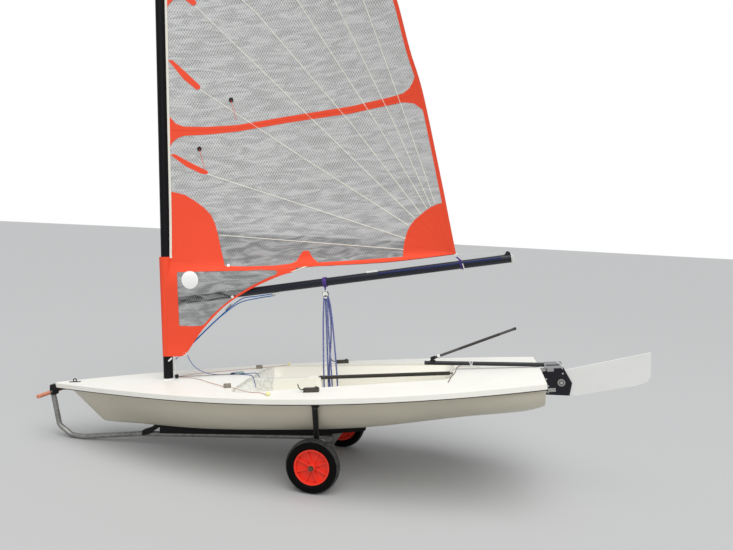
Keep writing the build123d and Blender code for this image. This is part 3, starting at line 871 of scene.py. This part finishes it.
@piece("sail_threads", "sail_cream", "rig")
def threads(mesh):
    radius = 0.0034
    for run in THREADS:
        add_stitches(mesh, run, radius)


@piece("sail_seams", "seam_red", "rig")
def seams(mesh):
    """Stitching of the clew patch and the lower batten."""
    clew_radius, batten_radius = 0.0007, 0.0011
    for end in CLEW_SEAM_ENDS:
        add_stitches(mesh, (CLEW_POINT, end), clew_radius, CLEW_SEAM_LIFT)
    add_stitches(mesh, BATTEN_SEAM, batten_radius, BATTEN_SEAM_LIFT)


def add_mark(mesh, x, z, radius, sides, lift):
    """Round patch on the sail."""
    outline = [(x + radius * math.cos(turn), z + radius * math.sin(turn)) for turn in turns(sides)]
    add_patch(mesh, outline, lift, FINE_STEP)


@piece("sail_discs", "disc_white", "rig")
def discs(mesh):
    """Plain white disc on the tack panel, with eyelets and a strip beside it."""
    add_mark(mesh, *TACK_DISC, 32, MARK_LIFT)
    for x, z, radius in EYELETS:
        add_mark(mesh, x, z, radius, 16, EYELET_LIFT)
    add_patch(mesh, FOOT_STRIP, EYELET_LIFT, FINE_STEP)


@piece("sail_dots", "plastic_black", "rig")
def dots(mesh):
    """Black patches that hold the telltales."""
    for x, z in TELLTALES:
        add_mark(mesh, x, z, TELLTALE_DOT, 16, MARK_LIFT)


@piece("sail_telltales", "sail_trim", "rig")
def telltales(mesh):
    """Red yarns that hang from the dots."""
    drop, radius = Vector((0.03, 0, -0.15)), 0.0016
    for x, z in TELLTALES:
        start, normal = on_film(x, z)
        tip = start + normal * 0.006 + drop
        run = [start + normal * 0.002, start.lerp(tip, 0.4) + normal * 0.004, tip]
        add_tube(mesh, curve_through(run, 5), radius, 5)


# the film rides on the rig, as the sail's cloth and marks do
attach(film, "rig")
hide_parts("sail")

# radii of the rig's lines, the boom's slope, and the places of its block and vang
THIN_LINE = 0.002
VANG_LINE = 0.0036
VANG_END = 0.007
BOOM_SLOPE = 0.066
BLOCK_X = 2.198
VANG_LOWER = [
    (1.819, 0.004, 0.610), (1.697, 0.006, 0.598), (1.573, 0.010, 0.580), (1.500, 0.012, 0.550),
    (1.410, 0.014, 0.493), (1.343, 0.014, 0.444), (1.251, 0.012, 0.370), (1.146, 0.008, 0.282),
    (1.000, 0.004, 0.168),
]
VANG_UPPER = [
    (1.800, -0.008, 0.622), (1.680, -0.006, 0.612), (1.580, 0.002, 0.604), (1.505, 0.008, 0.566),
    (1.420, 0.006, 0.505), (1.330, 0.004, 0.436), (1.180, 0.000, 0.314), (1.002, -0.004, 0.172),
]


def over_boom(x, y, height):
    """A place beside the boom, at a height over its axis."""
    return (x, y, boom_z(x) + height)


def ring_boom(mesh, x, slope, radius, thick):
    """Turn of rope round the boom."""
    add_ring(mesh, over_boom(x, 0, 0), (1, 0, slope), radius, thick)


@piece("downhaul_lines", "rope_white", "rig")
def downhaul(mesh):
    """Thin lines between the sail's tack and the deck."""
    for x, y in ((1.008, -0.012), (1.002, 0.008)):
        add_tube(mesh, [(x + 0.012, y - 0.02, 0.2), (x, y, 0.05)], THIN_LINE)
    add_tube(mesh, [(1.1, -0.036, 0.216), (1.015, -0.034, 0.186)], THIN_LINE)


@piece("rig_white_fittings", "fitting_grey", "rig")
def white_fittings(mesh):
    """Shackle and eyes of the tack and clew, fittings of the boom, and its block's cheeks and neck."""
    tack_shackle, tack_eye, clew_eye = (0.98, -0.031, 0.178), (1.104, -0.036, 0.219), (3.137, 0, 0.816)
    vang_eye, boom_cleat = over_boom(1.822, 0, -0.036), over_boom(2.545, -0.008, 0.031)
    cheek_y, cheeks = 0.0095, ((2.196, 0.598, 0.019), (2.197, 0.58, 0.012))
    add_box(mesh, tack_shackle, (0.04, 0.01, 0.012), 0.003, -0.65)
    add_ring(mesh, tack_eye, ACROSS, 0.011, 0.0028)
    add_box(mesh, vang_eye, (0.05, 0.014, 0.018), 0.003, -0.1)
    add_box(mesh, boom_cleat, (0.085, 0.02, 0.014), 0.004, -BOOM_SLOPE)
    add_ring(mesh, clew_eye, ACROSS, 0.01, 0.003)
    for side in (-1, 1):
        for x, z, radius in cheeks:
            add_disc(mesh, (x, side * cheek_y, z), ACROSS, radius, 0.003)
    for foot_x, top_x in ((2.186, 2.194), (2.206, 2.199)):
        add_tube(mesh, [(foot_x, -0.006, 0.612), (top_x, -0.003, 0.636)], 0.004)


@piece("rig_black_fittings", "plastic_black", "rig")
def black_fittings(mesh):
    """Downhaul's deck block, and the outhaul's arm and sheave at the boom's end."""
    deck_block, sheave = (1.012, -0.012, 0.047), over_boom(3.484, 0, 0.038)
    add_box(mesh, deck_block, (0.026, 0.018, 0.028), 0.004)
    add_tube(mesh, [over_boom(3.466, -0.006, 0.028), over_boom(3.5, 0, 0.036)], 0.008)
    add_disc(mesh, sheave, ACROSS, 0.013, 0.02)


@piece("vang_lines", "line_blue", "rig")
def vang_lines(mesh):
    """Two blue lines under the boom that turn down to the mast's foot."""
    for run in (VANG_LOWER, VANG_UPPER):
        add_tube(mesh, curve_through(run, 5), VANG_LINE)


@piece("vang_fittings", "steel", "rig")
def vang_ends(mesh):
    add_tube(mesh, [(1.43, 0.012, 0.518), (1.476, 0.012, 0.56)], VANG_END)
    add_tube(mesh, [(1.8, -0.002, 0.617), (1.827, -0.002, 0.614)], VANG_END)


@piece("boom_side_line", "rope_navy", "rig")
def side_line(mesh):
    line = [(2.59, -0.026), (2.64, -0.0285), (3.2, -0.0285), (3.44, -0.027)]
    add_tube(mesh, [over_boom(x, y, 0.012) for x, y in line], 0.006)


@piece("boom_lashings", "rope_purple", "rig")
def lashings(mesh):
    """Rope round the boom at the mainsheet's block and at the clew."""
    strap, clew, leg, around = 0.0042, 0.0035, 0.006, 0.0325
    for shift in (-0.01, -0.003, 0.004, 0.011):
        ring_boom(mesh, BLOCK_X + shift, BOOM_SLOPE, around, strap)
    for x, y, top in ((2.194, 0.012, (2.196, 0.006, 0.632)), (2.2, -0.012, (2.198, -0.006, 0.632))):
        add_tube(mesh, [over_boom(x, y, -0.03), top], leg, 6)
    for x in (3.164, 3.173):
        ring_boom(mesh, x, 0.25, around, clew)
    for foot, x, y in (((3.136, -0.006, 0.806), 3.164, -0.014), ((3.14, 0.006, 0.806), 3.17, 0.012)):
        add_tube(mesh, [foot, over_boom(x, y, 0.028)], clew, 6)


@piece("outhaul_line", "rope_white", "rig")
def outhaul(mesh):
    """White line from the clew to the boom's end, with its loose tail and its knot."""
    tail = [over_boom(3.178, -0.0345, 0.008), (3.184, -0.0365, 0.735), (3.188, -0.036, 0.704)]
    knot = [over_boom(3.513, -0.006, 0.022)]
    knot += [(3.518, -0.02, boom_z(3.515)), (3.514, -0.024, boom_z(3.51) - 0.02)]
    add_tube(mesh, curve_through(tail, 4), 0.0032)
    add_tube(mesh, [over_boom(3.478, 0.004, 0.03), (3.152, 0.01, 0.82)], THIN_LINE)
    add_tube(mesh, curve_through(knot, 4), 0.0035)
    ring_boom(mesh, 3.508, BOOM_SLOPE, 0.03, 0.003)


# the mainsheet's falls, from the boom's block to the block on the cockpit floor
MAINSHEET_FALLS = [
    [(2.186, -0.004, 0.590), (2.179, -0.005, 0.529), (2.162, -0.006, 0.342),
     (2.140, -0.008, -0.079), (2.162, -0.008, -0.150)],
    [(2.192, 0.003, 0.585), (2.191, 0.004, 0.525), (2.185, 0.004, 0.341),
     (2.169, 0.003, -0.080), (2.172, 0.002, -0.150)],
    [(2.200, -0.003, 0.585), (2.206, -0.004, 0.533), (2.200, -0.004, 0.340),
     (2.198, -0.004, -0.080), (2.186, -0.003, -0.150)],
    [(2.207, 0.006, 0.592), (2.222, 0.006, 0.526), (2.232, 0.006, 0.338),
     (2.234, 0.006, -0.076), (2.202, 0.006, -0.148)],
    [(2.203, 0.009, 0.588), (2.214, 0.009, 0.510), (2.216, 0.010, 0.330),
     (2.180, 0.010, 0.030), (2.184, 0.010, -0.146)],
]
FLOOR_BLOCK = (2.18, -0.152)


@piece("mainsheet", "rope_flecked", None)
def mainsheet(mesh):
    radius = 0.0057
    for fall in MAINSHEET_FALLS:
        add_tube(mesh, curve_through(fall, 10), radius)


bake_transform(mainsheet)


@piece("floor_block_cheeks", "plastic_black", "hull")
def floor_cheeks(mesh):
    x, z = FLOOR_BLOCK
    for side in (1, -1):
        add_disc(mesh, (x, side * 0.0105, z), ACROSS, 0.026, 0.004)


# lines that lie on the deck: x and y of their points
RED_NEAR_FORE = [
    (0.990, 0.048), (1.145, -0.020), (1.232, -0.080), (1.327, -0.170), (1.440, -0.262), (1.512, -0.318),
]
RED_NEAR_AFT = [
    (1.548, -0.330), (1.609, -0.366), (1.700, -0.440), (1.764, -0.474), (1.830, -0.488),
    (1.896, -0.540),
]
RED_FAR_FORE = [(0.99, 0.062), (1.088, 0.15), (1.366, 0.275), (1.512, 0.335)]
RED_FAR_AFT = [(1.548, 0.345), (1.64, 0.41), (1.725, 0.474)]
STRAP_ROPE = [
    (3.048, -0.372), (3.062, -0.250), (3.084, -0.116), (3.090, 0.000), (3.101, 0.082), (3.140, 0.170),
    (3.200, 0.260),
]
PALE_LINE = [(3.099, 0.111), (3.17, 0.086), (3.253, 0.054)]
LEAD_LINE = [(0.992, 0.056), (1.12, 0.064), (1.26, 0.074), (1.404, 0.084)]
DECK_LINE = 0.0018
CLEAT_Y = 0.488


def lay_on_deck(points, height):
    return [(x, y, deck_z(x, y) + height) for x, y in points]


def lip_half(x):
    """Half-breadth over the gunwale's lip: the bow's long arc, tangent to the arc of the sides."""
    side_arc, side_y, beam_x, join_x, nose = 4.343, -3.693, 2.396, 1.1, 0.021
    if x >= join_x:
        return side_y + math.sqrt(side_arc**2 - (x - beam_x) ** 2)
    join_y = side_y + math.sqrt(side_arc**2 - (join_x - beam_x) ** 2)
    in_x, in_y = (beam_x - join_x) / side_arc, (side_y - join_y) / side_arc
    rise = join_y - nose
    bow_arc = -(join_x**2 + rise**2) / (2 * (in_x * join_x + in_y * rise))
    return join_y + in_y * bow_arc + math.sqrt(bow_arc**2 - (x - join_x - in_x * bow_arc) ** 2)


@piece("red_lines", "rope_red", "hull")
def red_lines(mesh):
    """Two thin red lines from the mast to the side blocks."""
    add_tube(mesh, lay_on_deck(RED_NEAR_FORE, 0.0045), DECK_LINE)
    for run, height in ((RED_NEAR_AFT, 0.003), (RED_FAR_FORE, 0.004), (RED_FAR_AFT, 0.003)):
        add_tube(mesh, curve_through(lay_on_deck(run, height), 4), DECK_LINE)


@piece("line_balls", "ball_yellow", "hull")
def line_balls(mesh):
    """Yellow balls at the ends of the red lines."""
    sunk = 0.001
    for x, y, radius in ((1.904, -0.548, 0.0145), (1.737, 0.484, 0.0115)):
        add_ball(mesh, (x, y, deck_z(x, y) + radius - sunk), radius)


@piece("cleat_details", "cleat_brown", "hull")
def cleat_details(mesh):
    """Heads, roller and rope's end of the cam cleat on each side."""
    tail = ((2.128, 0.0, 0.022), (2.112, 0.004, 0.016), (2.094, -0.004, 0.026), (2.084, -0.01, 0.05))
    for side in (-1, 1):
        y = side * CLEAT_Y
        base = deck_z(2.175, y)
        for x in (2.142, 2.164):
            add_disc(mesh, (x, y, base + 0.023), UPRIGHT, 0.01, 0.007, 14)
        add_disc(mesh, (2.206, y, base + 0.02), ACROSS, 0.013, 0.03, 18)
        run = [(x, y + side * out, base + up) for x, out, up in tail]
        add_tube(mesh, curve_through(run, 4), 0.0035)


@piece("strap_rope", "rope_brown", "hull")
def strap_rope(mesh):
    """Rope at the toe strap's after end."""
    add_tube(mesh, curve_through(lay_on_deck(STRAP_ROPE, 0.0055), 6), 0.0024)


@piece("pale_line", "rope_white", "hull")
def pale_line(mesh):
    add_tube(mesh, lay_on_deck(PALE_LINE, 0.004), 0.0022)


BLUE_LINE_DECK = deck_z(1.46, 0.09)


@piece("blue_line_block", "knot_blue", "hull")
def blue_line_block(mesh):
    """Block that the blue line passes on the deck."""
    add_box(mesh, (1.466, 0.092, BLUE_LINE_DECK + 0.0105), (0.078, 0.032, 0.018), 0.008)
    add_disc(mesh, (1.474, 0.092, BLUE_LINE_DECK + 0.011), ACROSS, 0.0095, 0.036, 16)


@piece("blue_line_knot", "rope_navy", "hull")
def blue_line_knot(mesh):
    add_ball(mesh, (1.416, 0.088, BLUE_LINE_DECK + 0.0085), 0.0085)
    add_tube(mesh, [(1.398, 0.086, BLUE_LINE_DECK + 0.007), (1.436, 0.09, BLUE_LINE_DECK + 0.009)], 0.0065)


@piece("lead_line", "rope_brown", "hull")
def lead_line(mesh):
    """Line from the mast's foot to the blue line's knot."""
    add_tube(mesh, lay_on_deck(LEAD_LINE, 0.004), DECK_LINE)


@piece("screws", "steel", "hull")
def screws(mesh):
    """Screws of the bow eye and of both gudgeons."""
    transom_x = 3.6555
    for x in (0.122, 0.198):
        add_disc(mesh, (x, 0, deck_z(x, 0) + 0.0045), UPRIGHT, 0.005, 0.003, 12)
    for z in (0.0, -0.148):
        for y in (-0.019, 0.019):
            add_disc(mesh, (transom_x, y, z), ALONG, 0.0045, 0.003, 12)


@piece("lip_shadow_lines", "lip_shadow_brown", "hull")
def lip_shadow_lines(mesh):
    """Dark line at the joint under the gunwale's lip, on both sides: painted shadow of the lip."""
    fore_x, length, steps = 0.035, 3.61, 60
    inward, below, radius = 0.0025, 0.035, 0.0035
    for side in (-1, 1):
        line = []
        for k in range(steps + 1):
            x = fore_x + length * k / steps
            half = lip_half(x)
            line.append((x, side * (half - inward), deck_z(x, half) - below))
        add_tube(mesh, line, radius, 6)


# the blade's pivot, and the sides of the rudder stock
PIVOT_X, PIVOT_Z = 3.787, -0.088
STOCK_SIDE = 0.02


@piece("rudder_bolts", "steel", "rudder")
def rudder_bolts(mesh):
    for side in (-1, 1):
        add_disc(mesh, (PIVOT_X, side * 0.027, PIVOT_Z), ACROSS, 0.009, 0.005, 6)
        for x, z in ((3.69, -0.06), (3.7, -0.108), (3.8, -0.026)):
            add_disc(mesh, (x, side * STOCK_SIDE, z), ACROSS, 0.006, 0.003, 12)


@piece("rudder_plates", "gudgeon_grey", "rudder")
def rudder_plates(mesh):
    """Pintle plates and the pivot's washer on each side of the stock."""
    for side in (-1, 1):
        add_box(mesh, (3.72, side * STOCK_SIDE, 0.002), (0.044, 0.003, 0.024), 0.001)
        add_box(mesh, (3.7225, side * STOCK_SIDE, -0.136), (0.051, 0.003, 0.026), 0.001)
        add_disc(mesh, (PIVOT_X, side * 0.0222, PIVOT_Z), ACROSS, 0.025, 0.002)


@piece("gudgeon_strap", "gudgeon_grey", "hull")
def gudgeon_strap(mesh):
    add_box(mesh, (3.669, 0, 0.0), (0.029, 0.021, 0.018), 0.001)


@piece("rudder_downhaul", "rope_white", "rudder")
def rudder_downhaul(mesh):
    line = [(3.762, -0.024, 0.058), (3.79, -0.024, 0.033), (3.797, -0.023, 0.006)]
    add_tube(mesh, curve_through(line, 5), 0.0028)


@piece("tiller_coil", "fitting_grey", "rudder")
def tiller_coil(mesh):
    """Three turns of line round the tiller, and their end."""
    thick = 0.0019
    for x, lean in ((3.186, 0.35), (3.194, 0.15), (3.201, -0.25)):
        add_ring(mesh, (x, 0, tiller_z(x)), (1, 0, lean), 0.0155, thick)
    tail = [(3.19, -0.016, tiller_z(3.19)), (3.206, -0.019, 0.046), (3.224, -0.018, 0.04)]
    add_tube(mesh, curve_through(tail, 4), thick)


@piece("rudder_black_details", "plastic_black", "rudder")
def rudder_black(mesh):
    """Foot of the extension's hinge, and the stock's seals and slots."""
    add_box(mesh, (2.93, 0.0, 0.0855), (0.038, 0.026, 0.021), 0.003, 0.053)
    for side in (-1, 1):
        add_ring(mesh, (PIVOT_X, side * 0.0236, PIVOT_Z), ACROSS, 0.0145, 0.0018, 24)
        add_box(mesh, (3.735, side * 0.0202, 0.034), (0.086, 0.002, 0.007), 0.0005)


@piece("extension_hinge", "plastic_black", "extension")
def extension_hinge(mesh):
    add_box(mesh, (2.934, 0, 0.1095), (0.036, 0.026, 0.021), 0.003, -0.309)


@piece("extension_collar", "fitting_grey", "extension")
def extension_collar(mesh):
    add_tube(mesh, [(2.966, 0, 0.1181), (2.984, 0, 0.1239)], 0.0125, 14)


@piece("extension_grip", "grip_grey", "extension")
def extension_grip(mesh):
    """The grip and its end ring."""
    add_tube(mesh, [(3.12, 0, 0.1673), (3.4, 0, 0.2567)], 0.0096, 14)
    add_tube(mesh, [(3.492, 0, 0.286), (3.512, 0, 0.2925)], 0.0098, 14)


@piece("trolley_bolts", "galvanised", "hull", ROW)
def trolley_bolts(mesh):
    for x, z in ((1.745, 0.184), (2.185, 0.224), (0.76, 0.098)):
        for side in (-1, 1):
            add_disc(mesh, (x, side * 0.021, z), ACROSS, 0.009, 0.006, 6)


@piece("axle_tips", "hub_brown", "hull", ROW)
def axle_tips(mesh):
    """Nut and cap on each end of the axle."""
    nut_y, cap_y, tip_y = 0.5255, 0.53, 0.5435
    for side in (-1, 1):
        for start, end, radius, sides in ((nut_y, cap_y, 0.0195, 6), (cap_y, tip_y, 0.0125, 12)):
            add_tube(mesh, [(AXLE_X, side * y, AXLE_Z) for y in (start, end)], radius, sides)


# half of the tread's section, as radius and distance from the wheel's middle plane
TREAD_EDGE = [(0.166, 0.0345), (0.169, 0.03), (0.1788, 0.014)]
TREAD = [(radius, -out) for radius, out in TREAD_EDGE] + TREAD_EDGE[::-1]
TREAD_STEPS = 72
# rings on both faces of a rim: distance from the middle plane, radius, thickness, sides
RIM_RINGS = [(0.0455, 0.02, 0.004, 18), (0.0345, 0.1145, 0.0035, 40)]


def make_wheel_details(name, side):
    """Rings round a rim's hub and edge, and the dusty skin of its tyre's tread and shoulders."""
    wheel_y = side * WHEEL_Y

    @piece("hub_" + name, "rim_red", "wheel_" + name, ROW)
    def hub(mesh):
        for face in (-1, 1):
            for out, radius, thick, sides in RIM_RINGS:
                add_ring(mesh, (AXLE_X, wheel_y + face * out, AXLE_Z), ACROSS, radius, thick, sides)

    @piece("tread_" + name, "tread_grey", "wheel_" + name, ROW)
    def tread(mesh):
        centre = Vector((AXLE_X, wheel_y, AXLE_Z))
        rings = []
        for radius, out in TREAD:
            ring = [Vector((math.cos(a) * radius, out, math.sin(a) * radius)) for a in turns(TREAD_STEPS)]
            rings.append([mesh.verts.new(centre + place) for place in ring])
        join_rings(mesh, rings)


make_wheel_details("port", -1)
make_wheel_details("starboard", 1)

# pale plain floor
bpy.ops.mesh.primitive_plane_add(size=400, location=(0, 150, 0))
floor = bpy.context.object
floor.name = "floor"
floor.data.materials.append(shade("floor", (0.46, 0.46, 0.455), 0.9))
